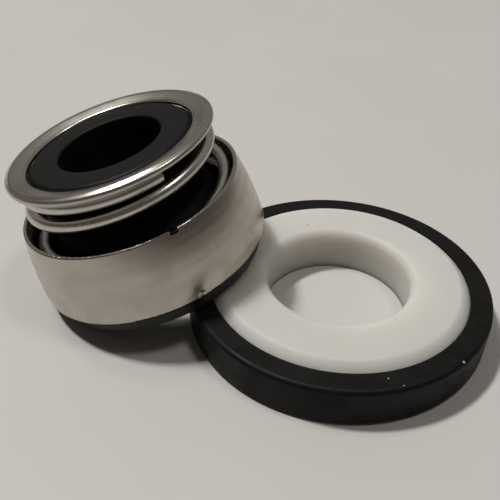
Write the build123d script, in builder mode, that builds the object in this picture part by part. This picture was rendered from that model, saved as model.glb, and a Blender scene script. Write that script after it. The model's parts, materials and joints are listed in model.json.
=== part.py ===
"""Pump-shaft mechanical seal: the sprung rotary head leans on the stationary seat.

The seat lies flat, with its axis on +Z and its back face on the plane Z = 0.
The head rests its lowest edge on the same plane and its face on the seat's rim.
"""
import os
from math import cos, pi, radians, sin, sqrt

from build123d import *

# ---------------------------------------------------------------- driving dimensions, in millimetres
shaft_diameter = 11.0
rubber_fit_clearance = 0.03

# Stationary seat
seat_diameter = 30.0
seat_rubber_height = 4.15
seat_back_thickness = 0.8
seat_back_lip = 3.65
seat_wall = 2.13
seat_top_round = 0.45
seat_bottom_round = 0.55
seat_shaft_clearance = 1.65
ceramic_height = 3.95
ceramic_chamfer_width = 1.0
ceramic_chamfer_height = 0.8
ceramic_bore_chamfer = 0.5
ceramic_fit_clearance = 0.02

# Rotary head: rubber bellows
bellows_grip = 0.4
bellows_tail_wall = 2.9
bellows_shoulder_step = 0.25
bellows_waist_depth = 0.75
bellows_waist_height = 1.3
bellows_waist_slope = 0.95
bellows_fold_rise = 2.1
bellows_wall = 1.3
bellows_back_wall = 0.9
bellows_skirt_wall = 0.75
bellows_skirt_recess = 0.35
bellows_edge_round = 0.2

# Rotary head: spring retainer
retainer_hole_clearance = 0.2
retainer_width = 2.05
retainer_thickness = 0.43
retainer_dish = 0.48
retainer_rim_width = 0.64
retainer_rim_rise = 0.16
retainer_edge_round = 0.15
retainer_stand_out = 5.1

# Rotary head: drive shell
shell_mouth_clearance = 0.35
shell_thickness = 0.42
shell_flare = 0.96
shell_swell = 0.22
shell_depth = 7.2
shell_overhang = 0.85
shell_edge_round = 0.19
shell_mark_count = 2
shell_mark_bearing = 118.5
shell_notch_width = 0.8
shell_notch_depth = 0.4
shell_crimp_radius = 0.6
shell_crimp_depth = 0.22

# Rotary head: spring
wire_diameter = 1.18
spring_turns = 3.2
spring_closed_pitch = 0.97
spring_start_angle = 127.0
spring_points_per_turn = 16
spring_seat_clearance = 0.03
spring_shoulder_clearance = 0.15
spring_mouth_clearance = 0.05

# Rotary head: carbon face ring
face_exposed_height = 1.67
face_thickness = 3.9
face_nose_width = 2.1
face_relief_depth = 1.3
face_shaft_clearance = 1.3
face_edge_round = 0.15
face_shoulder_chamfer = 0.3

# How the head rests on the seat
head_heading = 193.0
head_foot_bearing = 182.6
head_foot_reach = 14.49
head_rest_gap = 0.03

# ---------------------------------------------------------------- sizes that follow
shaft_radius = shaft_diameter / 2

seat_radius = seat_diameter / 2
pocket_radius = seat_radius - seat_wall
ceramic_radius = pocket_radius - ceramic_fit_clearance
ceramic_back_radius = ceramic_radius - seat_back_lip - ceramic_fit_clearance
ceramic_bore_radius = shaft_radius + seat_shaft_clearance
ceramic_top = seat_back_thickness + ceramic_height

bellows_bore_radius = shaft_radius - bellows_grip
tail_radius = bellows_bore_radius + bellows_tail_wall
shoulder_radius = tail_radius + bellows_shoulder_step
waist_radius = shoulder_radius - bellows_waist_depth
hole_radius = tail_radius + retainer_hole_clearance
retainer_radius = hole_radius + retainer_width

shell_mouth_inner_radius = retainer_radius + shell_mouth_clearance
shell_mouth_radius = shell_mouth_inner_radius + shell_thickness
shell_lower_radius = shell_mouth_radius + shell_flare
shell_belly_radius = (shell_mouth_radius + shell_lower_radius) / 2 + shell_swell
shell_mouth_height = face_exposed_height + shell_depth
shell_belly_height = face_exposed_height + shell_depth / 2

face_radius = shell_lower_radius - shell_overhang
face_bore_radius = shaft_radius + face_shaft_clearance
nose_inner_radius = face_radius - face_nose_width
back_inner_height = face_thickness + rubber_fit_clearance
back_outer_height = back_inner_height + bellows_back_wall
skirt_taper = (shell_lower_radius - shell_mouth_radius) / shell_depth
skirt_outer_radius = shell_lower_radius - shell_thickness - rubber_fit_clearance
skirt_top_radius = skirt_outer_radius - skirt_taper * (back_outer_height - face_exposed_height)
skirt_inner_radius = skirt_top_radius - bellows_skirt_wall
face_body_radius = skirt_inner_radius - rubber_fit_clearance
skirt_foot_height = face_exposed_height - bellows_skirt_recess
face_shoulder_height = skirt_foot_height - rubber_fit_clearance

fold_height = back_outer_height + bellows_fold_rise
lower_waist_height = fold_height + bellows_waist_slope
upper_waist_height = lower_waist_height + bellows_waist_height
retainer_inner_height = shell_mouth_height + retainer_stand_out
underside_height = retainer_inner_height - retainer_thickness
shoulder_height = underside_height - rubber_fit_clearance

# ---------------------------------------------------------------- resting place of the head
heading = Vector(cos(radians(head_heading)), sin(radians(head_heading)), 0)
foot_bearing = Vector(cos(radians(head_foot_bearing)), sin(radians(head_foot_bearing)), 0)
foot = foot_bearing * (seat_radius + head_foot_reach)


def head_plane_at(lean: float) -> Plane:
    """The face plane of a head that stands on its foot and leans by the given angle."""
    axis = heading * sin(radians(lean)) + Vector(0, 0, cos(radians(lean)))
    downhill = heading * cos(radians(lean)) - Vector(0, 0, sin(radians(lean)))
    return Plane(origin=foot - downhill * face_radius, x_dir=downhill, z_dir=axis)


def rim_height_over_face(lean: float) -> float:
    """How far the seat's rounded rim reaches past the face plane, where the nose band meets it."""
    plane = head_plane_at(lean)
    reach = -seat_radius
    for quarter_degree in range(720):
        turn = radians(head_foot_bearing - 90 + quarter_degree / 4)
        rim = Vector(
            (seat_radius - seat_top_round) * cos(turn),
            (seat_radius - seat_top_round) * sin(turn),
            seat_rubber_height - seat_top_round,
        )
        local = plane.to_local_coords(rim)
        if nose_inner_radius < sqrt(local.X**2 + local.Y**2) < face_radius:
            reach = max(reach, local.Z + seat_top_round)
    return reach


shallow_lean, head_lean = 0.0, 60.0
while head_lean - shallow_lean > 0.001:
    middle_lean = (shallow_lean + head_lean) / 2
    if rim_height_over_face(middle_lean) < -head_rest_gap:
        head_lean = middle_lean
    else:
        shallow_lean = middle_lean

head_plane = head_plane_at(head_lean)
head_axis = Axis(head_plane.origin, head_plane.z_dir)
head_profile = Plane(head_plane.origin, x_dir=head_plane.x_dir, z_dir=-head_plane.y_dir)
seat_profile = Plane.XZ

os.makedirs("parts", exist_ok=True)

# ---------------------------------------------------------------- seat: rubber cup
with BuildPart() as seat_rubber_cup:
    with BuildSketch(seat_profile):
        with BuildLine():
            Polyline(
                (ceramic_radius - seat_back_lip, 0),
                (seat_radius, 0),
                (seat_radius, seat_rubber_height),
                (pocket_radius, seat_rubber_height),
                (pocket_radius, seat_back_thickness),
                (ceramic_radius - seat_back_lip, seat_back_thickness),
                close=True,
            )
        make_face()
        fillet(vertices().sort_by_distance((seat_radius, seat_rubber_height))[0], seat_top_round)
        fillet(vertices().sort_by_distance((seat_radius, 0))[0], seat_bottom_round)
    revolve(axis=Axis.Z)
seat_rubber_cup.part.label = "seat_rubber_cup"
export_step(seat_rubber_cup.part, "parts/seat_rubber_cup.step")

# ---------------------------------------------------------------- seat: ceramic ring
with BuildPart() as ceramic_seat_ring:
    with BuildSketch(seat_profile):
        with BuildLine():
            Polyline(
                (ceramic_bore_radius, 0),
                (ceramic_back_radius, 0),
                (ceramic_back_radius, seat_back_thickness),
                (ceramic_radius, seat_back_thickness),
                (ceramic_radius, ceramic_top - ceramic_chamfer_height),
                (ceramic_radius - ceramic_chamfer_width, ceramic_top),
                (ceramic_bore_radius + ceramic_bore_chamfer, ceramic_top),
                (ceramic_bore_radius, ceramic_top - ceramic_bore_chamfer),
                close=True,
            )
        make_face()
    revolve(axis=Axis.Z)
ceramic_seat_ring.part.label = "ceramic_seat_ring"
export_step(ceramic_seat_ring.part, "parts/ceramic_seat_ring.step")

# ---------------------------------------------------------------- head: carbon face ring
with BuildPart() as face_ring:
    with BuildSketch(head_profile):
        with BuildLine():
            Polyline(
                (nose_inner_radius, 0),
                (face_radius, 0),
                (face_radius, face_shoulder_height),
                (face_body_radius, face_shoulder_height),
                (face_body_radius, face_thickness),
                (face_bore_radius, face_thickness),
                (face_bore_radius, face_relief_depth),
                (nose_inner_radius, face_relief_depth),
                close=True,
            )
        make_face()
        fillet(vertices().sort_by_distance((face_radius, 0))[0], face_edge_round)
        chamfer(
            vertices().sort_by_distance((face_radius, face_shoulder_height))[0],
            face_shoulder_chamfer,
        )
    revolve(axis=head_axis)
face_ring.part.label = "face_ring"
export_step(face_ring.part, "parts/face_ring.step")

# ---------------------------------------------------------------- head: drive shell
with BuildPart() as drive_shell:
    with BuildSketch(head_profile):
        with BuildLine():
            outside = ThreePointArc(
                (shell_lower_radius, face_exposed_height),
                (shell_belly_radius, shell_belly_height),
                (shell_mouth_radius, shell_mouth_height),
            )
            inside = ThreePointArc(
                (shell_lower_radius - shell_thickness, face_exposed_height),
                (shell_belly_radius - shell_thickness, shell_belly_height),
                (shell_mouth_inner_radius, shell_mouth_height),
            )
            Line(outside @ 0, inside @ 0)
            Line(outside @ 1, inside @ 1)
        make_face()
        fillet(vertices(), shell_edge_round)
    revolve(axis=head_axis)
    with Locations(head_plane.offset(shell_mouth_height)):
        with PolarLocations(shell_mouth_radius, shell_mark_count, shell_mark_bearing):
            Box(
                2 * (shell_thickness + shell_mouth_clearance),
                shell_notch_width,
                2 * shell_notch_depth,
                mode=Mode.SUBTRACT,
            )
    crimp_centre_radius = shell_lower_radius + shell_crimp_radius - shell_crimp_depth
    with Locations(head_plane.offset(face_exposed_height + shell_crimp_radius / 2)):
        with PolarLocations(crimp_centre_radius, shell_mark_count, shell_mark_bearing):
            Sphere(shell_crimp_radius, mode=Mode.SUBTRACT)
drive_shell.part.label = "drive_shell"
export_step(drive_shell.part, "parts/drive_shell.step")

# ---------------------------------------------------------------- head: rubber bellows
with BuildPart() as bellows:
    with BuildSketch(head_profile):
        with BuildLine():
            Polyline(
                (skirt_inner_radius, skirt_foot_height),
                (skirt_outer_radius, skirt_foot_height),
                (skirt_outer_radius, face_exposed_height),
                (skirt_top_radius, back_outer_height),
                (shoulder_radius, back_outer_height),
                (shoulder_radius, fold_height),
                (waist_radius, lower_waist_height),
                (waist_radius, upper_waist_height),
                (shoulder_radius, upper_waist_height + bellows_waist_slope),
                (shoulder_radius, shoulder_height),
                (tail_radius, shoulder_height),
                (tail_radius, retainer_inner_height),
                (bellows_bore_radius, retainer_inner_height),
                (bellows_bore_radius, upper_waist_height),
                (waist_radius - bellows_wall, lower_waist_height),
                (shoulder_radius - bellows_wall, fold_height),
                (shoulder_radius - bellows_wall, back_inner_height),
                (skirt_inner_radius, back_inner_height),
                close=True,
            )
        make_face()
        fillet(vertices().sort_by_distance((tail_radius, retainer_inner_height))[0], bellows_edge_round)
        fillet(
            vertices().sort_by_distance((bellows_bore_radius, retainer_inner_height))[0],
            bellows_edge_round,
        )
    revolve(axis=head_axis)
bellows.part.label = "bellows"
export_step(bellows.part, "parts/bellows.step")

# ---------------------------------------------------------------- head: spring retainer
crown_radius = retainer_radius - retainer_rim_width
crown_height = retainer_inner_height + retainer_dish

with BuildPart() as spring_retainer:
    with BuildSketch(head_profile):
        with BuildLine():
            Polyline(
                (hole_radius, underside_height),
                (hole_radius, retainer_inner_height),
                (crown_radius, crown_height),
                (retainer_radius, crown_height - retainer_rim_width / 2),
                (retainer_radius, underside_height + retainer_rim_rise),
                (crown_radius, underside_height),
                close=True,
            )
        make_face()
        fillet(vertices(), retainer_edge_round)
    revolve(axis=head_axis)
spring_retainer.part.label = "spring_retainer"
export_step(spring_retainer.part, "parts/spring_retainer.step")

# ---------------------------------------------------------------- head: coil spring
wire_radius = wire_diameter / 2
spring_top = underside_height - spring_seat_clearance - wire_radius
spring_bottom = back_outer_height + spring_seat_clearance + wire_radius
spring_drop = spring_top - spring_bottom
spring_swell = (spring_drop / spring_turns - spring_closed_pitch) * 8 / 3
spring_top_radius = shoulder_radius + spring_shoulder_clearance + wire_radius
spring_bottom_radius = shell_mouth_inner_radius - spring_mouth_clearance - wire_radius


def spring_point(turn: float) -> Vector:
    """A point on the wire's centre line, with the coils closed up at both ends."""
    phase = 2 * pi * turn / spring_turns
    opened = 3 * turn / 8 - spring_turns / pi * (sin(phase) / 4 - sin(2 * phase) / 32)
    drop = spring_closed_pitch * turn + spring_swell * opened
    radius = spring_top_radius + (spring_bottom_radius - spring_top_radius) * drop / spring_drop
    angle = radians(spring_start_angle) - 2 * pi * turn
    return head_plane.from_local_coords(
        Vector(radius * cos(angle), radius * sin(angle), spring_top - drop)
    )


spring_steps = round(spring_turns * spring_points_per_turn)

with BuildPart() as spring:
    with BuildLine() as wire_line:
        Spline(*[spring_point(spring_turns * step / spring_steps) for step in range(spring_steps + 1)])
    with BuildSketch(Plane(origin=wire_line.line @ 0, z_dir=wire_line.line % 0)):
        Circle(wire_radius)
    sweep(path=wire_line.line, is_frenet=True)
spring.part.label = "spring"
export_step(spring.part, "parts/spring.step")
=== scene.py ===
"""Dressed scene of a pump-shaft mechanical seal: a sprung rotary head on its stationary seat.

Lengths are in metres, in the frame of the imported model: the seat's axis is +Z and its back lies on
Z = 0. The seat rests flat. The head stands on the lowest edge of its carbon ring and leans over the
seat's rim.
"""

import json
import logging
import math
from dataclasses import dataclass, field
from enum import Enum
from typing import ClassVar, Sequence

import bmesh
import bpy
from bmesh.types import BMesh, BMVert
from bpy.types import Material, Node, NodeOutputs, NodeSocket, NodeTree, Object
from mathutils import Matrix, Vector

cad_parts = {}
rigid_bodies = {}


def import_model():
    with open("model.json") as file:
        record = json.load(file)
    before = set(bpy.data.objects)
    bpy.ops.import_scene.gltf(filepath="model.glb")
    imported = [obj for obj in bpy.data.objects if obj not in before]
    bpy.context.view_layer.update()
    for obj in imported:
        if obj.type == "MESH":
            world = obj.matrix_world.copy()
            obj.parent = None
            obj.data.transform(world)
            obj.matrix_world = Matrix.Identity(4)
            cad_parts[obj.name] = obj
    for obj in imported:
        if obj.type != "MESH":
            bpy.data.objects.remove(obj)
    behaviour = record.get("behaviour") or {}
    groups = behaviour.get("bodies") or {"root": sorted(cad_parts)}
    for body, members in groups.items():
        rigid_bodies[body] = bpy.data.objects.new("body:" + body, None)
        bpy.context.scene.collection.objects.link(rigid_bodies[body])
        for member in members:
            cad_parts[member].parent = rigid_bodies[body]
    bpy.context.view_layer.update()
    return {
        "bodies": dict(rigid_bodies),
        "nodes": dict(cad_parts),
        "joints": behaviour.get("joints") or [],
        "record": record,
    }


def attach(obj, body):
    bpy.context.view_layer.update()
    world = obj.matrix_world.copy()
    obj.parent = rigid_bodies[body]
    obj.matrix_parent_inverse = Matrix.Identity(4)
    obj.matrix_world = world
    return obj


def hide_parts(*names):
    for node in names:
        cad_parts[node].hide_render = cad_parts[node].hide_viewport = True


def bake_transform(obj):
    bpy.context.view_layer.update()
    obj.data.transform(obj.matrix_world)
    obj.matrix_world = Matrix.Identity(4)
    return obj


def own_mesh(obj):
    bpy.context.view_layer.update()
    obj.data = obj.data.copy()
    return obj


log = logging.getLogger("mechanical_seal")
MM = 0.001
Colour = tuple[float, float, float, float]
Pair = tuple[float, float]
Sockets = dict[str, NodeSocket]


# ---- placement ----


@dataclass(frozen=True)
class HeadFrame:
    """Where the rotary head lies: the centre of its face plane and its axis."""

    face_centre: Vector = field(
        default_factory=lambda: Vector((-19.030567, 1.069987, 3.051896)) * MM
    )
    axis: Vector = field(
        default_factory=lambda: Vector((-0.2671766, -0.0616826, 0.9616714)).normalized()
    )

    @property
    def matrix(self) -> Matrix:
        """The head's frame as a matrix.

        Returns:
            The frame: X runs downhill, Z along the axis away from the face.
        """
        z = self.axis
        x = (Vector((0, 0, -1)) + z * z.z).normalized()
        turned = Matrix((x, z.cross(x), z)).transposed().to_4x4()
        return Matrix.Translation(self.face_centre) @ turned

    def point(self, radius: float, degrees: float, height: float) -> Vector:
        """A point by its radius, its angle from downhill and its height over the face plane."""
        turn = math.radians(degrees)
        return self.matrix @ Vector((radius * math.cos(turn), radius * math.sin(turn), height))


HEAD = HeadFrame()


# ---- named options ----


class Wear(Enum):
    """How much of a piece's edges is rubbed by handling."""

    FAINT = 0.25
    LIGHT = 0.35
    MODERATE = 0.5
    HANDLED = 0.6


class Layout(Enum):
    """The frame that a finish's pattern is laid out in, with the piece's axis as Z."""

    SEAT = "seat"
    HEAD = "head"


class SocketKind(Enum):
    """The type of a group's socket."""

    NUMBER = "NodeSocketFloat"
    PLACE = "NodeSocketVector"
    COLOUR = "NodeSocketColor"


# ---- shader tools ----

# The Mix node has sockets for every data type. These are its share, its two colours and its result.
MIX_INPUTS = (0, 6, 7)
MIX_OUTPUT = 2


class ShaderSheet:
    """A thin layer over a node tree that places and wires nodes by name."""

    def __init__(self, tree: NodeTree) -> None:
        """Keeps the tree and empties it."""
        self.tree = tree
        self.tree.nodes.clear()

    def node(self, kind: str, **settings: object) -> Node:
        """Adds a node and sets its properties.

        Args:
            kind: the node's type without the ShaderNode prefix, or a full name for group sockets.
            **settings: properties of the node itself.

        Returns:
            The new node.
        """
        full = kind if kind.startswith("NodeGroup") else "ShaderNode" + kind
        made = self.tree.nodes.new(full)
        for name, value in settings.items():
            setattr(made, name, value)
        return made

    def link(self, source: NodeSocket, target: NodeSocket) -> None:
        """Wires one socket to another."""
        self.tree.links.new(source, target)

    def feed(self, target: NodeSocket, value: object) -> None:
        """Gives a socket a wire if the value is a socket, and a plain value otherwise.

        Args:
            target: the socket that is fed.
            value: a socket or a plain value, or None to leave the target as it is.
        """
        if isinstance(value, NodeSocket):
            self.link(value, target)
        elif value is not None:
            target.default_value = value

    def feed_all(self, made: Node, *values: object) -> Node:
        """Feeds a node's inputs in their order.

        Args:
            made: the node.
            *values: a socket, a plain value or None for each input.

        Returns:
            The same node.
        """
        for socket, value in zip(made.inputs, values):
            self.feed(socket, value)
        return made

    def math(self, operation: str, a: object, b: object = None, clamp: bool = False) -> NodeSocket:
        """A Math node's result for one value or two, held between 0 and 1 if clamp is set."""
        made = self.node("Math", operation=operation, use_clamp=clamp)
        return self.feed_all(made, a, b).outputs[0]

    def times(self, a: object, b: object) -> NodeSocket:
        """The product of two values."""
        return self.math("MULTIPLY", a, b)

    def plus(self, a: object, b: object) -> NodeSocket:
        """The sum of two values."""
        return self.math("ADD", a, b)

    def vector_value(self, operation: str, a: object, b: object = None) -> NodeSocket:
        """The number that a Vector Math node gives for its two inputs."""
        made = self.node("VectorMath", operation=operation)
        return self.feed_all(made, a, b).outputs["Value"]

    def split(self, vector: NodeSocket) -> Sequence[NodeSocket]:
        """A vector's X, Y and Z."""
        return self.feed_all(self.node("SeparateXYZ"), vector).outputs

    def join(self, x: object, y: object, z: object = None) -> NodeSocket:
        """A vector made of its X, Y and Z."""
        return self.feed_all(self.node("CombineXYZ"), x, y, z).outputs[0]

    def ramp(
        self, value: object, low: float, high: float, out_low: float = 0.0, out_high: float = 1.0
    ) -> NodeSocket:
        """A value carried smoothly from low and high to out_low and out_high, held at both ends."""
        made = self.node("MapRange", interpolation_type="SMOOTHSTEP", clamp=True)
        return self.feed_all(made, value, low, high, out_low, out_high).outputs[0]

    def mix(self, share: object, a: object, b: object) -> NodeSocket:
        """A mix of two colours.

        Args:
            share: the share of the second colour.
            a: first colour.
            b: second colour.

        Returns:
            The output socket.
        """
        made = self.node("Mix", data_type="RGBA", blend_type="MIX")
        for place, value in zip(MIX_INPUTS, (share, a, b)):
            self.feed(made.inputs[place], value)
        return made.outputs[MIX_OUTPUT]

    def noise(self, place: object, scale: object, layers: Pair) -> NodeSocket:
        """A noise value over a place.

        Args:
            place: the place vector.
            scale: grains to a metre.
            layers: how many finer layers are added, and how strong they are.

        Returns:
            The output socket.
        """
        made = self.node("TexNoise", noise_dimensions="3D", normalize=True)
        labels = ("Vector", "Scale", "Detail", "Roughness")
        for label, value in zip(labels, (place, scale, *layers)):
            self.feed(made.inputs[label], value)
        return made.outputs["Fac"]


class MaterialSheet(ShaderSheet):
    """A material's node tree, with its surface shader wired to the output."""

    def __init__(self, name: str) -> None:
        """Makes the material.

        Args:
            name: the material's name.
        """
        self.material = bpy.data.materials.new(name)
        self.material.use_nodes = True
        super().__init__(self.material.node_tree)
        self.surface = self.node("BsdfPrincipled")
        self.link(self.surface.outputs[0], self.node("OutputMaterial").inputs[0])

    def set(self, **values: object) -> None:
        """Sets or wires the surface shader's sockets, with spaces written as underscores."""
        for label, value in values.items():
            self.feed(self.surface.inputs[label.replace("_", " ")], value)


# ---- shared effects ----


@dataclass(frozen=True)
class SocketRow:
    """One named socket of a group, with its type and its default."""

    label: str
    kind: SocketKind = SocketKind.NUMBER
    default: object = None


@dataclass(frozen=True)
class SharedEffect:
    """A shader group with named inputs and outputs, built once and placed in many materials."""

    name: ClassVar[str]
    inputs: ClassVar[Sequence[SocketRow]]
    outputs: ClassVar[Sequence[SocketRow]]

    def nodes(self, sheet: ShaderSheet, given: Sockets) -> Sockets:
        """Makes the group's nodes from its inputs by name, and gives its outputs by name."""
        raise NotImplementedError

    def build(self) -> NodeTree:
        """Builds the group.

        Returns:
            The node group.
        """
        group = bpy.data.node_groups.new(self.name, "ShaderNodeTree")
        for rows, side in ((self.inputs, "INPUT"), (self.outputs, "OUTPUT")):
            for row in rows:
                made = group.interface.new_socket(
                    name=row.label, in_out=side, socket_type=row.kind.value
                )
                if row.default is not None:
                    made.default_value = row.default
        sheet = ShaderSheet(group)
        entry = sheet.node("NodeGroupInput")
        results = self.nodes(sheet, {row.label: entry.outputs[row.label] for row in self.inputs})
        leave = sheet.node("NodeGroupOutput")
        for label, socket in results.items():
            sheet.link(socket, leave.inputs[label])
        return group


@dataclass(frozen=True)
class TurningRings(SharedEffect):
    """Rings left by turning or pressing about the Z axis: a height and a mask of streaks."""

    name: ClassVar[str] = "turning_rings"
    inputs: ClassVar[Sequence[SocketRow]] = (
        SocketRow("Place", SocketKind.PLACE),
        SocketRow("Fineness", default=9000.0),
        SocketRow("Sweep", default=1.2),
    )
    outputs: ClassVar[Sequence[SocketRow]] = (SocketRow("Height"), SocketRow("Streaks"))
    fine_layers: Pair = (2.0, 0.6)
    broad_layers: Pair = (2.0, 0.5)
    broad_scale: float = 0.13
    broad_share: float = 0.6
    streak_range: Pair = (0.35, 0.7)

    def nodes(self, sheet: ShaderSheet, given: Sockets) -> Sockets:
        """Makes the rings from the radius, the height and the angle about the axis.

        Args:
            sheet: the group's sheet.
            given: Place, Fineness in rings to a metre, and Sweep, the change round a turn.

        Returns:
            Height and Streaks.
        """
        x, y, z = sheet.split(given["Place"])
        radius = sheet.vector_value("LENGTH", sheet.join(x, y))
        angle = sheet.math("ARCTAN2", y, x)
        place = sheet.join(
            sheet.times(radius, given["Fineness"]),
            sheet.times(z, given["Fineness"]),
            sheet.times(sheet.math("SINE", angle), given["Sweep"]),
        )
        fine = sheet.noise(place, 1.0, self.fine_layers)
        broad = sheet.noise(place, self.broad_scale, self.broad_layers)
        height = sheet.plus(fine, sheet.times(broad, self.broad_share))
        return {"Height": height, "Streaks": sheet.ramp(broad, *self.streak_range)}


@dataclass(frozen=True)
class SurfaceGrain(SharedEffect):
    """Fine grain with soft mottling: a height, a mottle mask and a mottled colour."""

    name: ClassVar[str] = "surface_grain"
    inputs: ClassVar[Sequence[SocketRow]] = (
        SocketRow("Place", SocketKind.PLACE),
        SocketRow("Fineness", default=4000.0),
        SocketRow("Mottling", default=0.5),
        SocketRow("Colour", SocketKind.COLOUR, (0.5, 0.5, 0.5, 1)),
        SocketRow("Mottle Colour", SocketKind.COLOUR, (0.5, 0.5, 0.5, 1)),
    )
    outputs: ClassVar[Sequence[SocketRow]] = (
        SocketRow("Height"),
        SocketRow("Mottle"),
        SocketRow("Colour", SocketKind.COLOUR),
    )
    fine_layers: Pair = (4.0, 0.5)
    mottle_scale: float = 320.0
    mottle_layers: Pair = (4.0, 0.6)
    mottle_range: Pair = (0.36, 0.68)

    def nodes(self, sheet: ShaderSheet, given: Sockets) -> Sockets:
        """Makes the grain and the mottling.

        Args:
            sheet: the group's sheet.
            given: Place, Fineness in grains to a metre, Mottling and the two colours.

        Returns:
            Height, Mottle and Colour.
        """
        fine = sheet.noise(given["Place"], given["Fineness"], self.fine_layers)
        broad = sheet.noise(given["Place"], self.mottle_scale, self.mottle_layers)
        mottle = sheet.ramp(broad, *self.mottle_range)
        share = sheet.times(mottle, given["Mottling"])
        colour = sheet.mix(share, given["Colour"], given["Mottle Colour"])
        return {"Height": fine, "Mottle": mottle, "Colour": colour}


@dataclass(frozen=True)
class EdgeWear(SharedEffect):
    """Wear along edges: a mask of rubbed edges, broken up by noise."""

    name: ClassVar[str] = "edge_wear"
    inputs: ClassVar[Sequence[SocketRow]] = (
        SocketRow("Place", SocketKind.PLACE),
        SocketRow("Reach", default=0.00025),
        SocketRow("Amount", default=0.5),
    )
    outputs: ClassVar[Sequence[SocketRow]] = (SocketRow("Mask"),)
    bevel_samples: int = 6
    agreement_range: Pair = (0.995, 0.9)
    patch_scale: float = 900.0
    patch_layers: Pair = (4.0, 0.65)
    patch_range: Pair = (0.36, 0.62)

    def nodes(self, sheet: ShaderSheet, given: Sockets) -> Sockets:
        """Finds edges where the rounded normal and the true normal differ.

        Args:
            sheet: the group's sheet.
            given: Place, Reach in metres, and Amount.

        Returns:
            Mask.
        """
        rounded = sheet.node("Bevel", samples=self.bevel_samples)
        sheet.link(given["Reach"], rounded.inputs["Radius"])
        normal = sheet.node("NewGeometry").outputs["Normal"]
        agreement = sheet.vector_value("DOT_PRODUCT", rounded.outputs[0], normal)
        edge = sheet.ramp(agreement, *self.agreement_range)
        patches = sheet.noise(given["Place"], self.patch_scale, self.patch_layers)
        broken = sheet.times(edge, sheet.ramp(patches, *self.patch_range))
        return {"Mask": sheet.math("MULTIPLY", broken, given["Amount"], clamp=True)}


@dataclass(frozen=True)
class Dust(SharedEffect):
    """Lint and dust: a mask of sparse pale specks, and a thin film on faces that look up."""

    name: ClassVar[str] = "dust"
    inputs: ClassVar[Sequence[SocketRow]] = (
        SocketRow("Place", SocketKind.PLACE),
        SocketRow("Spacing", default=700.0),
        SocketRow("Share", default=0.05),
        SocketRow("Film", default=0.2),
    )
    outputs: ClassVar[Sequence[SocketRow]] = (SocketRow("Specks"), SocketRow("Film"))
    least_speck: float = 0.035
    speck_spread: float = 0.07
    level_range: Pair = (0.55, 1.0)
    haze_scale: float = 500.0
    haze_layers: Pair = (5.0, 0.7)
    haze_range: Pair = (0.4, 0.75)

    def nodes(self, sheet: ShaderSheet, given: Sockets) -> Sockets:
        """Picks a share of the cells for specks, and lays the film by how level a face is.

        Args:
            sheet: the group's sheet.
            given: Place, Spacing in cells to a metre, Share of the cells, and Film.

        Returns:
            Specks and Film.
        """
        cells = sheet.node("TexVoronoi", voronoi_dimensions="3D", feature="F1")
        sheet.link(given["Place"], cells.inputs["Vector"])
        sheet.link(given["Spacing"], cells.inputs["Scale"])
        draws = sheet.feed_all(sheet.node("SeparateColor"), cells.outputs["Color"]).outputs
        chosen = sheet.math("GREATER_THAN", draws[0], sheet.math("SUBTRACT", 1.0, given["Share"]))
        size = sheet.plus(sheet.times(draws[1], self.speck_spread), self.least_speck)
        near = sheet.math("LESS_THAN", cells.outputs["Distance"], size)
        rise = sheet.split(sheet.node("NewGeometry").outputs["Normal"])[2]
        upward = sheet.ramp(rise, *self.level_range)
        patches = sheet.noise(given["Place"], self.haze_scale, self.haze_layers)
        haze = sheet.ramp(patches, *self.haze_range)
        film = sheet.times(sheet.times(upward, haze), given["Film"])
        return {"Specks": sheet.times(chosen, near), "Film": film}


@dataclass(frozen=True)
class SharedEffects:
    """The shader groups that the finishes share."""

    turning: NodeTree
    grain: NodeTree
    edges: NodeTree
    dust: NodeTree

    @classmethod
    def build(cls) -> "SharedEffects":
        """Builds each group once."""
        return cls(*(kind().build() for kind in (TurningRings, SurfaceGrain, EdgeWear, Dust)))


# ---- finishes ----


@dataclass(frozen=True)
class Finish:
    """What every finish has: two tones, a grain, rubbed edges, a roughness and a relief.

    The mottle is the second tone. The roughness runs from its first value to its second, and
    grain_relief is the grain's share in the relief where turned or drawn lines lie over it.
    """

    name: str
    colour: Colour
    mottle: Colour
    mottling: float
    grain_fineness: float
    edge_colour: Colour
    roughness: Pair
    relief_depth: float
    relief_strength: float = 0.7
    grain_relief: float = 1.0
    edge_reach: float = 0.0002
    wear: Wear = Wear.HANDLED
    layout: Layout = Layout.HEAD


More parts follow.
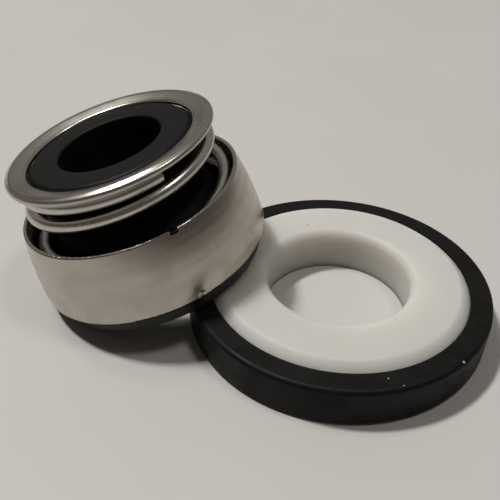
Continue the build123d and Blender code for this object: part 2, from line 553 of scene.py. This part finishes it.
class FinishSheet(MaterialSheet):
    """A finish's material, with the grain and the rubbed edges that every finish has."""

    def __init__(self, finish: Finish, effects: SharedEffects) -> None:
        """Makes the material, and lays its grain and its rubbed edges.

        Args:
            finish: the finish.
            effects: the shared shader groups.
        """
        super().__init__(finish.name)
        self.finish = finish
        self.place = self.laid_out(finish.layout)
        self.grain = self.effect(
            effects.grain,
            Fineness=finish.grain_fineness,
            Mottling=finish.mottling,
            Colour=finish.colour,
            Mottle_Colour=finish.mottle,
        )
        worn = self.effect(effects.edges, Reach=finish.edge_reach, Amount=finish.wear.value)
        self.rubbed = worn["Mask"]
        self.edged = self.mix(self.rubbed, self.grain["Colour"], finish.edge_colour)

    def laid_out(self, layout: Layout) -> NodeSocket:
        """The place on the piece, in the frame that the pattern is laid out in.

        Args:
            layout: the frame.

        Returns:
            The place vector, with the piece's axis as Z.
        """
        coordinates = self.node("TexCoord").outputs["Object"]
        if layout is Layout.SEAT:
            return coordinates
        mapping = self.node("Mapping", vector_type="TEXTURE")
        mapping.inputs["Location"].default_value = HEAD.matrix.translation
        mapping.inputs["Rotation"].default_value = HEAD.matrix.to_euler("XYZ")
        self.link(coordinates, mapping.inputs["Vector"])
        return mapping.outputs[0]

    def effect(self, group: NodeTree, **values: object) -> NodeOutputs:
        """Places a shared effect with its own values.

        Args:
            group: the effect's node group.
            **values: inputs by name, with spaces written as underscores.

        Returns:
            The group node's outputs.
        """
        made = self.node("Group", node_tree=group)
        self.link(self.place, made.inputs["Place"])
        for label, value in values.items():
            self.feed(made.inputs[label.replace("_", " ")], value)
        return made.outputs

    def rough(self, mask: object, low: float = 0.0, high: float = 1.0) -> NodeSocket:
        """The finish's roughness, from its first value to its second as a mask rises."""
        return self.ramp(mask, low, high, *self.finish.roughness)

    def relief(self, lines: object = None) -> NodeSocket:
        """The finish's relief: its grain, under turned or drawn lines where it has them.

        Args:
            lines: the height of the lines.

        Returns:
            The normal.
        """
        height = self.grain["Height"]
        if lines is not None:
            height = self.plus(self.times(height, self.finish.grain_relief), lines)
        made = self.node("Bump")
        made.inputs["Strength"].default_value = self.finish.relief_strength
        made.inputs["Distance"].default_value = self.finish.relief_depth
        self.link(height, made.inputs["Height"])
        return made.outputs[0]


@dataclass(frozen=True)
class MouldedRubber(Finish):
    """Black nitrile rubber with a satin moulded skin, light dust and a few specks."""

    colour: Colour = (0.0034, 0.0033, 0.0031, 1)
    mottle: Colour = (0.0066, 0.0064, 0.0060, 1)
    mottling: float = 0.55
    grain_fineness: float = 5200.0
    edge_colour: Colour = (0.009, 0.0087, 0.0083, 1)
    roughness: Pair = (0.47, 0.61)
    relief_depth: float = 0.000012
    relief_strength: float = 0.8
    edge_reach: float = 0.0003
    wear: Wear = Wear.LIGHT
    gloss: float = 0.15
    dust_colour: Colour = (0.42, 0.40, 0.37, 1)
    speck_spacing: float = 760.0
    speck_share: float = 0.32
    film: float = 0.004

    def material(self, effects: SharedEffects) -> Material:
        """Builds the rubber's material.

        Args:
            effects: the shared shader groups.

        Returns:
            The material.
        """
        sheet = FinishSheet(self, effects)
        dust = sheet.effect(
            effects.dust, Spacing=self.speck_spacing, Share=self.speck_share, Film=self.film
        )
        filmed = sheet.mix(dust["Film"], sheet.edged, self.dust_colour)
        sheet.set(Base_Color=sheet.mix(dust["Specks"], filmed, self.dust_colour))
        sheet.set(Roughness=sheet.rough(sheet.grain["Mottle"]), Specular_IOR_Level=self.gloss)
        sheet.set(Normal=sheet.relief())
        return sheet.material


@dataclass(frozen=True)
class GroundCeramic(Finish):
    """White alumina, ground flat, with faint tone changes and light let in under its skin."""

    colour: Colour = (0.56, 0.541, 0.503, 1)
    mottle: Colour = (0.536, 0.515, 0.474, 1)
    mottling: float = 0.4
    grain_fineness: float = 6500.0
    edge_colour: Colour = (0.52, 0.495, 0.45, 1)
    roughness: Pair = (0.48, 0.58)
    relief_depth: float = 0.000004
    relief_strength: float = 0.6
    grain_relief: float = 0.5
    wear: Wear = Wear.FAINT
    layout: Layout = Layout.SEAT
    gloss: float = 0.28
    ring_fineness: float = 5200.0
    ring_sweep: float = 2.0
    speck_spacing: float = 500.0
    speck_share: float = 0.01
    speck_cover: float = 0.6
    speck_colour: Colour = (0.30, 0.28, 0.25, 1)
    depth_share: float = 1.0
    depth: float = 0.006
    depth_spread: tuple[float, float, float] = (1.0, 0.95, 0.85)

    def material(self, effects: SharedEffects) -> Material:
        """Builds the ceramic's material.

        Args:
            effects: the shared shader groups.

        Returns:
            The material.
        """
        sheet = FinishSheet(self, effects)
        rings = sheet.effect(effects.turning, Fineness=self.ring_fineness, Sweep=self.ring_sweep)
        dust = sheet.effect(effects.dust, Spacing=self.speck_spacing, Share=self.speck_share)
        cover = sheet.times(dust["Specks"], self.speck_cover)
        sheet.set(Base_Color=sheet.mix(cover, sheet.edged, self.speck_colour))
        sheet.set(Roughness=sheet.rough(rings["Streaks"]), Specular_IOR_Level=self.gloss)
        sheet.set(Subsurface_Weight=self.depth_share, Subsurface_Scale=self.depth)
        sheet.set(Subsurface_Radius=self.depth_spread, Normal=sheet.relief(rings["Height"]))
        return sheet.material


@dataclass(frozen=True)
class TurnedCarbon(Finish):
    """Black carbon graphite, turned all over, with a faint graphite sheen."""

    colour: Colour = (0.0085, 0.0085, 0.0093, 1)
    mottle: Colour = (0.014, 0.014, 0.0152, 1)
    mottling: float = 0.5
    grain_fineness: float = 7000.0
    edge_colour: Colour = (0.032, 0.031, 0.031, 1)
    roughness: Pair = (0.34, 0.5)
    relief_depth: float = 0.000006
    grain_relief: float = 0.6
    wear: Wear = Wear.MODERATE
    gloss: float = 0.3
    ring_fineness: float = 6200.0
    ring_sweep: float = 0.8

    def material(self, effects: SharedEffects) -> Material:
        """Builds the carbon's material.

        Args:
            effects: the shared shader groups.

        Returns:
            The material.
        """
        sheet = FinishSheet(self, effects)
        rings = sheet.effect(effects.turning, Fineness=self.ring_fineness, Sweep=self.ring_sweep)
        sheet.set(Base_Color=sheet.edged, Specular_IOR_Level=self.gloss)
        sheet.set(Roughness=sheet.rough(rings["Streaks"]), Normal=sheet.relief(rings["Height"]))
        return sheet.material


@dataclass(frozen=True)
class DrawnSteel(Finish):
    """Satin stainless sheet, pressed round the head's axis, with soft tarnish."""

    colour: Colour = (0.5, 0.474, 0.425, 1)
    mottle: Colour = (0.40, 0.355, 0.30, 1)
    mottling: float = 0.4
    grain_fineness: float = 3600.0
    edge_colour: Colour = (0.6, 0.57, 0.52, 1)
    roughness: Pair = (0.20, 0.30)
    relief_depth: float = 0.000003
    relief_strength: float = 0.22
    grain_relief: float = 0.25
    edge_reach: float = 0.00018
    ring_fineness: float = 7000.0
    ring_sweep: float = 0.7
    tarnish_roughness: float = 0.05
    rubbed_roughness: float = 0.3

    def material(self, effects: SharedEffects) -> Material:
        """Builds the steel's material.

        Args:
            effects: the shared shader groups.

        Returns:
            The material.
        """
        sheet = FinishSheet(self, effects)
        rings = sheet.effect(effects.turning, Fineness=self.ring_fineness, Sweep=self.ring_sweep)
        tarnish = sheet.times(sheet.grain["Mottle"], self.tarnish_roughness)
        tarnished = sheet.plus(sheet.rough(rings["Streaks"]), tarnish)
        rough = sheet.plus(tarnished, sheet.times(sheet.rubbed, self.rubbed_roughness))
        sheet.set(Base_Color=sheet.edged, Metallic=1.0, Roughness=rough)
        sheet.set(Normal=sheet.relief(rings["Height"]))
        return sheet.material


@dataclass(frozen=True)
class SpringWire(Finish):
    """Bright drawn stainless wire, with draw lines along it."""

    colour: Colour = (0.63, 0.60, 0.555, 1)
    mottle: Colour = (0.45, 0.42, 0.38, 1)
    mottling: float = 0.45
    grain_fineness: float = 4200.0
    edge_colour: Colour = (0.74, 0.72, 0.69, 1)
    roughness: Pair = (0.2, 0.34)
    relief_depth: float = 0.000004
    grain_relief: float = 0.3
    edge_reach: float = 0.00012
    line_scale: tuple[float, float, float] = (14.0, 46.0, 1.0)
    line_layers: Pair = (3.0, 0.6)
    line_range: Pair = (0.3, 0.7)

    def material(self, effects: SharedEffects) -> Material:
        """Builds the wire's material, with its draw lines laid by the wire's UV map.

        Args:
            effects: the shared shader groups.

        Returns:
            The material.
        """
        sheet = FinishSheet(self, effects)
        stretched = sheet.node("Mapping")
        stretched.inputs["Scale"].default_value = self.line_scale
        sheet.link(sheet.node("UVMap", uv_map="wire").outputs[0], stretched.inputs["Vector"])
        lines = sheet.noise(stretched.outputs[0], 1.0, self.line_layers)
        rough = sheet.rough(lines, *self.line_range)
        sheet.set(Base_Color=sheet.edged, Metallic=1.0, Roughness=rough)
        sheet.set(Normal=sheet.relief(lines))
        return sheet.material


# ---- mesh tools ----

STRAIGHT_WITHIN = 0.02
LONGEST_ROUNDING = 0.49
SHARP_EDGE = math.radians(35)


def dress(piece: Object, material: Material) -> None:
    """Gives a piece one material in all of its slots.

    Args:
        piece: the piece.
        material: the material.
    """
    if not piece.data.materials:
        piece.data.materials.append(material)
    for place in range(len(piece.data.materials)):
        piece.data.materials[place] = material


def new_piece(name: str, mesh: BMesh) -> Object:
    """Makes an object of a finished mesh, shaded smooth, and puts it in the scene.

    Args:
        name: the object's name.
        mesh: the mesh, which is freed.

    Returns:
        The object.
    """
    data = bpy.data.meshes.new(name)
    mesh.to_mesh(data)
    mesh.free()
    data.shade_smooth()
    made = bpy.data.objects.new(name, data)
    bpy.context.scene.collection.objects.link(made)
    return made


def rounded_profile(corners: Sequence[tuple[float, float, float]], steps: int = 6) -> list[Pair]:
    """A closed profile with its corners rounded.

    Args:
        corners: radius, height and rounding of each corner, in millimetres.
        steps: runs in each rounding.

    Returns:
        The profile's points, radius and height, in millimetres.
    """
    points: list[Pair] = []
    count = len(corners)
    for index, (x, y, rounding) in enumerate(corners):
        here = Vector((x, y))
        before = Vector(corners[index - 1][:2]) - here
        after = Vector(corners[(index + 1) % count][:2]) - here
        turn = before.angle(after)
        if rounding <= 0 or turn > math.pi - STRAIGHT_WITHIN:
            points.append((x, y))
            continue
        longest = LONGEST_ROUNDING * min(before.length, after.length)
        reach = min(rounding / math.tan(turn / 2), longest)
        start, end = here + before.normalized() * reach, here + after.normalized() * reach
        for step in range(steps + 1):
            share = step / steps
            bent = start * (1 - share) ** 2 + here * 2 * share * (1 - share) + end * share**2
            points.append((bent.x, bent.y))
    return points


def turned_mesh(profile: Sequence[Pair], segments: int, frame: Matrix) -> BMesh:
    """Turns a closed profile about the frame's Z axis.

    Args:
        profile: radius and height of each point, in millimetres.
        segments: steps in a whole turn.
        frame: the frame that the profile is turned in, in metres.

    Returns:
        A closed mesh.
    """
    mesh = bmesh.new()
    rings = []
    for step in range(segments):
        turn = 2 * math.pi * step / segments
        across, along = math.cos(turn), math.sin(turn)
        ring = [frame @ (Vector((r * across, r * along, h)) * MM) for r, h in profile]
        rings.append([mesh.verts.new(point) for point in ring])
    for step in range(segments):
        near, far = rings[step], rings[(step + 1) % segments]
        for index in range(len(profile)):
            follow = (index + 1) % len(profile)
            mesh.faces.new((near[index], far[index], far[follow], near[follow]))
    bmesh.ops.recalc_face_normals(mesh, faces=mesh.faces)
    return mesh


# ---- sub-assemblies ----


@dataclass
class StationarySeat:
    """The seat: a white ceramic ring held in a black rubber cup. Sizes are in millimetres."""

    nodes: dict[str, Object]
    effects: SharedEffects
    bore_radius: float = 7.15
    back_radius: float = 9.18
    outer_radius: float = 12.85
    back_step: float = 0.8
    top: float = 4.75
    chamfer_width: float = 1.0
    chamfer_height: float = 0.8
    bore_chamfer: float = 0.5
    segments: int = 256
    rubber: MouldedRubber = MouldedRubber("seat_rubber", layout=Layout.SEAT)
    ceramic: GroundCeramic = GroundCeramic("seat_ceramic")

    def profile(self) -> list[Pair]:
        """The ceramic's section, with its edges rounded off as fired and tumbled.

        Returns:
            The section's points.
        """
        corners = [
            (self.bore_radius, 0.0, 0.1),
            (self.back_radius, 0.0, 0.1),
            (self.back_radius, self.back_step, 0.0),
            (self.outer_radius, self.back_step, 0.1),
            (self.outer_radius, self.top - self.chamfer_height, 0.2),
            (self.outer_radius - self.chamfer_width, self.top, 0.6),
            (self.bore_radius + self.bore_chamfer, self.top, 0.7),
            (self.bore_radius, self.top - self.bore_chamfer, 0.9),
        ]
        return rounded_profile(corners)

    def build(self) -> None:
        """Dresses the cup, and builds and dresses the ring."""
        dress(self.nodes["seat_rubber_cup"], self.rubber.material(self.effects))
        log.info("seat_rubber_cup dressed in moulded rubber")
        section = turned_mesh(self.profile(), self.segments, Matrix.Identity(4))
        ring = new_piece("ceramic_ring", section)
        dress(ring, self.ceramic.material(self.effects))
        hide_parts("ceramic_seat_ring")
        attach(ring, "seal")
        log.info("ceramic_ring built: %d faces", len(ring.data.polygons))


@dataclass
class CoilSpring:
    """The head's spring: one round wire, closed up at both ends. Sizes are in millimetres."""

    effects: SharedEffects
    wire_radius: float = 0.59
    top_radius: float = 8.99
    bottom_radius: float = 9.96
    top_height: float = 12.92
    bottom_height: float = 5.45
    turns: float = 3.2
    closed_pitch: float = 0.97
    start_degrees: float = 127.0
    seat_height: float = 4.83
    top_seat_height: float = 13.54
    travel: float = 3.0
    steps_per_turn: int = 96
    sides: int = 22
    end_bevel: float = 0.1
    slope_step: float = 0.0005
    finish: SpringWire = SpringWire("spring_wire")

    def line(self, turn: float) -> Vector:
        """A point on the wire's centre line.

        The pitch opens from the closed one as the fourth power of a sine over the spring's
        length, so that both ends lie flat. That power's mean is 3/8.

        Args:
            turn: turns from the top end.

        Returns:
            The point in the head's frame, in millimetres.
        """
        drop_in_all = self.top_height - self.bottom_height
        swell = (drop_in_all / self.turns - self.closed_pitch) * 8 / 3
        phase = 2 * math.pi * turn / self.turns
        waves = math.sin(phase) / 4 - math.sin(2 * phase) / 32
        opened = 3 * turn / 8 - self.turns / math.pi * waves
        drop = self.closed_pitch * turn + swell * opened
        radius = self.top_radius + (self.bottom_radius - self.top_radius) * drop / drop_in_all
        angle = math.radians(self.start_degrees) - 2 * math.pi * turn
        return Vector((radius * math.cos(angle), radius * math.sin(angle), self.top_height - drop))

    def stations(self) -> list[tuple[Vector, Vector, float]]:
        """The places along the wire that get a ring of points.

        Returns:
            Each ring's centre, direction and radius, with a small bevel at both ends.
        """
        count = round(self.turns * self.steps_per_turn)
        made: list[tuple[Vector, Vector, float]] = []
        for step in range(count + 1):
            turn = self.turns * step / count
            ahead, behind = self.line(turn + self.slope_step), self.line(turn - self.slope_step)
            made.append((self.line(turn), (ahead - behind).normalized(), self.wire_radius))
        blunt = self.wire_radius - self.end_bevel
        (top, down, _), (foot, onward, _) = made[0], made[-1]
        made[0] = (top + down * self.end_bevel, down, self.wire_radius)
        made[-1] = (foot - onward * self.end_bevel, onward, self.wire_radius)
        return [(top, down, blunt), *made, (foot, onward, blunt)]

    def ring(self, mesh: BMesh, centre: Vector, along: Vector, radius: float) -> list[BMVert]:
        """One ring of points round the wire.

        Args:
            mesh: the mesh that gets the points.
            centre: the ring's centre in the head's frame, in millimetres.
            along: the wire's direction there.
            radius: the ring's radius in millimetres.

        Returns:
            The ring's points in order.
        """
        outward = Vector((centre.x, centre.y, 0)).normalized()
        outward = (outward - along * outward.dot(along)).normalized()
        side = along.cross(outward)
        made = []
        for step in range(self.sides):
            turn = 2 * math.pi * step / self.sides
            place = centre + (outward * math.cos(turn) + side * math.sin(turn)) * radius
            made.append(mesh.verts.new(HEAD.matrix @ (place * MM)))
        return made

    def mesh(self) -> BMesh:
        """The wire's mesh, with cut ends and a UV map along it.

        Returns:
            A closed mesh.
        """
        mesh = bmesh.new()
        layer = mesh.loops.layers.uv.new("wire")
        rings = [self.ring(mesh, *station) for station in self.stations()]
        for place in range(len(rings) - 1):
            near, far = rings[place], rings[place + 1]
            for side in range(self.sides):
                follow = (side + 1) % self.sides
                face = mesh.faces.new((near[side], near[follow], far[follow], far[side]))
                for loop, (on, over) in zip(face.loops, ((0, 0), (0, 1), (1, 1), (1, 0))):
                    u, v = (place + on) / self.steps_per_turn, (side + over) / self.sides
                    loop[layer].uv = (u, v)
        mesh.faces.new(list(reversed(rings[0])))
        mesh.faces.new(rings[-1])
        bmesh.ops.recalc_face_normals(mesh, faces=mesh.faces)
        for edge in mesh.edges:
            if len(edge.link_faces) == 2 and edge.calc_face_angle() > SHARP_EDGE:
                edge.smooth = False
        return mesh

    def build(self) -> None:
        """Builds and dresses the spring, and gives it a mesh of its own."""
        piece = new_piece("coil_spring", self.mesh())
        dress(piece, self.finish.material(self.effects))
        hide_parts("spring")
        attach(piece, "seal")
        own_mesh(piece)
        log.info("coil_spring built: %d faces", len(piece.data.polygons))


@dataclass
class RubberBellows:
    """The head's bellows: a skirt, a fold and a tail on the shaft. Sizes are in millimetres."""

    effects: SharedEffects
    bore_radius: float = 5.1
    tail_radius: float = 8.0
    shoulder_radius: float = 8.25
    waist_radius: float = 7.5
    skirt_foot_radius: float = 11.53
    skirt_top_radius: float = 11.1087
    skirt_inner_radius: float = 10.3587
    skirt_foot: float = 1.32
    skirt_taper_start: float = 1.67
    back_inner: float = 3.93
    back_outer: float = 4.83
    fold_height: float = 6.93
    lower_waist: float = 7.88
    upper_waist: float = 9.18
    waist_slope: float = 0.95
    shoulder_height: float = 13.51
    top: float = 13.97
    wall: float = 1.3
    flare_height: float = 5.3
    tail_bevel: float = 0.32
    grip_start: float = 10.5
    segments: int = 160
    finish: MouldedRubber = MouldedRubber("bellows_rubber", speck_share=0.004)

    def profile(self) -> list[Pair]:
        """The bellows' section, rounded as moulded.

        Returns:
            The section's points.
        """
        corners = [
            (self.skirt_inner_radius, self.skirt_foot, 0.12),
            (self.skirt_foot_radius, self.skirt_foot, 0.12),
            (self.skirt_foot_radius, self.skirt_taper_start, 0.1),
            (self.skirt_top_radius, self.back_outer, 0.3),
            (self.shoulder_radius, self.back_outer, 0.3),
            (self.shoulder_radius, self.fold_height, 0.5),
            (self.waist_radius, self.lower_waist, 0.6),
            (self.waist_radius, self.upper_waist, 0.6),
            (self.shoulder_radius, self.upper_waist + self.waist_slope, 0.5),
            (self.shoulder_radius, self.shoulder_height, 0.08),
            (self.tail_radius, self.shoulder_height, 0.0),
            (self.tail_radius, self.top - self.tail_bevel, 0.12),
            (self.tail_radius - self.tail_bevel, self.top, 0.4),
            (self.bore_radius, self.top, 0.28),
            (self.bore_radius, self.flare_height, 0.4),
            (self.shoulder_radius - self.wall, self.back_inner, 0.0),
            (self.skirt_inner_radius, self.back_inner, 0.0),
        ]
        return rounded_profile(corners)

    def build(self) -> None:
        """Builds and dresses the bellows, and bakes its place into its mesh."""
        section = turned_mesh(self.profile(), self.segments, HEAD.matrix)
        piece = new_piece("rubber_bellows", section)
        dress(piece, self.finish.material(self.effects))
        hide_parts("bellows")
        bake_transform(piece)
        log.info("rubber_bellows built: %d faces", len(piece.data.polygons))


@dataclass
class SpringRetainer:
    """The head's pressed spring retainer, with its rim rolled over. Sizes are in millimetres."""

    effects: SharedEffects
    hole_radius: float = 8.2
    crown_radius: float = 9.61
    radius: float = 10.25
    underside: float = 13.54
    inner_height: float = 13.97
    crown_height: float = 14.45
    rim_drop: float = 0.32
    rim_rise: float = 0.16
    rounding_steps: int = 10
    segments: int = 256
    finish: DrawnSteel = DrawnSteel(
        "retainer_steel", roughness=(0.16, 0.26), mottling=0.3, ring_fineness=9000.0
    )

    def profile(self) -> list[Pair]:
        """The retainer's section, with its hole's edge turned in and its rim rolled over.

        Returns:
            The section's points.
        """
        corners = [
            (self.hole_radius, self.underside, 0.1),
            (self.hole_radius, self.inner_height, 0.3),
            (self.crown_radius, self.crown_height, 0.6),
            (self.radius, self.crown_height - self.rim_drop, 0.35),
            (self.radius, self.underside + self.rim_rise, 0.2),
            (self.crown_radius, self.underside, 0.4),
        ]
        return rounded_profile(corners, self.rounding_steps)

    def build(self) -> None:
        """Builds and dresses the retainer."""
        section = turned_mesh(self.profile(), self.segments, HEAD.matrix)
        piece = new_piece("retainer_ring", section)
        dress(piece, self.finish.material(self.effects))
        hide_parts("spring_retainer")
        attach(piece, "retainer")
        log.info("retainer_ring built: %d faces", len(piece.data.polygons))


@dataclass
class RotaryHead:
    """The head: a carbon ring and its bellows in a steel shell, a spring and its retainer."""

    nodes: dict[str, Object]
    effects: SharedEffects
    carbon: TurnedCarbon = TurnedCarbon("face_carbon")
    shell: DrawnSteel = DrawnSteel("shell_steel")

    def build(self) -> None:
        """Dresses the carbon and the shell, and builds the retainer, the bellows and the spring."""
        dress(self.nodes["face_ring"], self.carbon.material(self.effects))
        log.info("face_ring dressed in turned carbon")
        dress(self.nodes["drive_shell"], self.shell.material(self.effects))
        log.info("drive_shell dressed in drawn steel")
        SpringRetainer(self.effects).build()
        RubberBellows(self.effects).build()
        CoilSpring(self.effects).build()


# ---- set and light ----


@dataclass(frozen=True)
class Lamp:
    """A round panel lamp. Angles are in degrees, the rest in metres and watts."""

    name: str
    azimuth: float
    elevation: float
    diameter: float
    energy: float
    distance: float = 1.0
    colour: tuple[float, float, float] = (1.0, 0.99, 0.97)
    target: tuple[float, float, float] = (-0.004, 0.0, 0.005)

    def hang(self) -> None:
        """Hangs the lamp at its place over the table, aimed at the units."""
        data = bpy.data.lights.new(self.name, "AREA")
        data.shape = "DISK"
        data.size = self.diameter
        data.energy = self.energy
        data.color = self.colour
        lamp = bpy.data.objects.new(self.name, data)
        turn, rise = math.radians(self.azimuth), math.radians(self.elevation)
        level = math.cos(rise)
        away = Vector((math.cos(turn) * level, math.sin(turn) * level, math.sin(rise)))
        lamp.location = Vector(self.target) + away * self.distance
        lamp.rotation_mode = "QUATERNION"
        lamp.rotation_quaternion = (-away).to_track_quat("-Z", "Y")
        bpy.context.scene.collection.objects.link(lamp)
        log.info("%s hung", self.name)


@dataclass
class Studio:
    """The table top, the lamps over it and the dim room around."""

    table_half_width: float = 3.0
    table_cells: int = 8
    table_colour: Colour = (0.535, 0.517, 0.491, 1)
    table_shade: Colour = (0.517, 0.498, 0.471, 1)
    # Painted shade: a darker grey laid into the table's colour far out at the front, in place of
    # shade falling there, not a tone of the table itself.
    table_front_painted_shade: Colour = (0.3, 0.285, 0.265, 1)
    table_front_painted_shade_range: Pair = (-0.032, -0.085)
    cloud_scale: float = 25.0
    cloud_layers: Pair = (3.0, 0.5)
    cloud_range: Pair = (0.3, 0.7)
    table_roughness: float = 0.55
    table_gloss: float = 0.25
    main_lamp: Lamp = Lamp("main_lamp", azimuth=173.0, elevation=65.0, diameter=0.108, energy=7.25)
    second_lamp: Lamp = Lamp(
        "second_lamp", azimuth=150.0, elevation=67.0, diameter=0.1, energy=0.84
    )
    fill_lamp: Lamp = Lamp("fill_lamp", azimuth=356.0, elevation=74.0, diameter=0.2, energy=1.67)
    room_strength: float = 1.0
    room_front: Colour = (0.085, 0.077, 0.069, 1)
    room_back: Colour = (0.23, 0.225, 0.212, 1)
    room_back_range: Pair = (-0.15, 0.7)
    room_low: Colour = (0.07, 0.052, 0.038, 1)
    room_low_range: Pair = (0.3, 0.02)
    room_low_share: float = 0.7

    def table(self) -> None:
        """Lays the pale table top that both units rest on, with painted shade: its colour turns
        greyer far out at the front, standing in for shade that falls there.
        """
        mesh = bmesh.new()
        cells = self.table_cells
        bmesh.ops.create_grid(mesh, x_segments=cells, y_segments=cells, size=self.table_half_width)
        piece = new_piece("table_top", mesh)
        sheet = MaterialSheet("table_laminate")
        place = sheet.node("TexCoord").outputs["Object"]
        clouds = sheet.noise(place, self.cloud_scale, self.cloud_layers)
        tone = sheet.ramp(clouds, *self.cloud_range)
        laminate = sheet.mix(tone, self.table_colour, self.table_shade)
        # Painted shade: the table's colour darkens towards the front, where shade is painted in.
        front = sheet.ramp(sheet.split(place)[1], *self.table_front_painted_shade_range)
        sheet.set(Base_Color=sheet.mix(front, laminate, self.table_front_painted_shade))
        sheet.set(Roughness=self.table_roughness, Specular_IOR_Level=self.table_gloss)
        piece.data.materials.append(sheet.material)
        log.info("table_top laid")

    def room(self) -> None:
        """Sets the room's dim light: paler at the back, darker at the front, brown low down."""
        world = bpy.data.worlds.new("room")
        bpy.context.scene.world = world
        world.use_nodes = True
        sheet = ShaderSheet(world.node_tree)
        _, depth, height = sheet.split(sheet.node("TexCoord").outputs["Generated"])
        behind = sheet.ramp(depth, *self.room_back_range)
        sides = sheet.mix(behind, self.room_front, self.room_back)
        low = sheet.ramp(height, *self.room_low_range)
        glow = sheet.node("Background")
        share = sheet.times(low, self.room_low_share)
        sheet.link(sheet.mix(share, sides, self.room_low), glow.inputs["Color"])
        glow.inputs["Strength"].default_value = self.room_strength
        sheet.link(glow.outputs[0], sheet.node("OutputWorld").inputs[0])
        log.info("room light set")

    def build(self) -> None:
        """Builds the table, the lamps and the room."""
        self.table()
        for lamp in (self.main_lamp, self.second_lamp, self.fill_lamp):
            lamp.hang()
        self.room()


@dataclass
class Viewpoint:
    """The camera's place, aim and lens: angles in degrees, lens and sensor in millimetres."""

    place: tuple[float, float, float] = (0.0, -0.049247, 0.042936)
    pan: float = -10.3975
    tilt: float = 36.3357
    roll: float = -1.0359
    lens: float = 44.509
    sensor: float = 36.0
    nearest: float = 0.001
    farthest: float = 50.0

    def build(self) -> None:
        """Makes the camera and hands it to the scene."""
        pan, tilt, roll = (math.radians(angle) for angle in (self.pan, self.tilt, self.roll))
        level = Vector((math.cos(pan), -math.sin(pan), 0))
        reach = math.cos(tilt)
        forward = Vector((math.sin(pan) * reach, math.cos(pan) * reach, -math.sin(tilt)))
        down = forward.cross(level)
        right = level * math.cos(roll) + down * math.sin(roll)
        below = down * math.cos(roll) - level * math.sin(roll)
        data = bpy.data.cameras.new("viewpoint")
        data.lens, data.sensor_width, data.sensor_fit = self.lens, self.sensor, "HORIZONTAL"
        data.clip_start, data.clip_end = self.nearest, self.farthest
        camera = bpy.data.objects.new("viewpoint", data)
        turned = Matrix((right, -below, -forward)).transposed().to_4x4()
        camera.matrix_world = Matrix.Translation(self.place) @ turned
        bpy.context.scene.collection.objects.link(camera)
        bpy.context.scene.camera = camera
        log.info("viewpoint set")


def main() -> None:
    """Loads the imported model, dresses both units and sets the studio."""
    logging.basicConfig(level=logging.INFO, format="%(name)s: %(message)s")
    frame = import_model()
    bpy.context.scene.view_settings.view_transform = "Standard"
    effects = SharedEffects.build()
    StationarySeat(frame["nodes"], effects).build()
    RotaryHead(frame["nodes"], effects).build()
    Studio().build()
    Viewpoint().build()


if __name__ == "__main__":
    main()
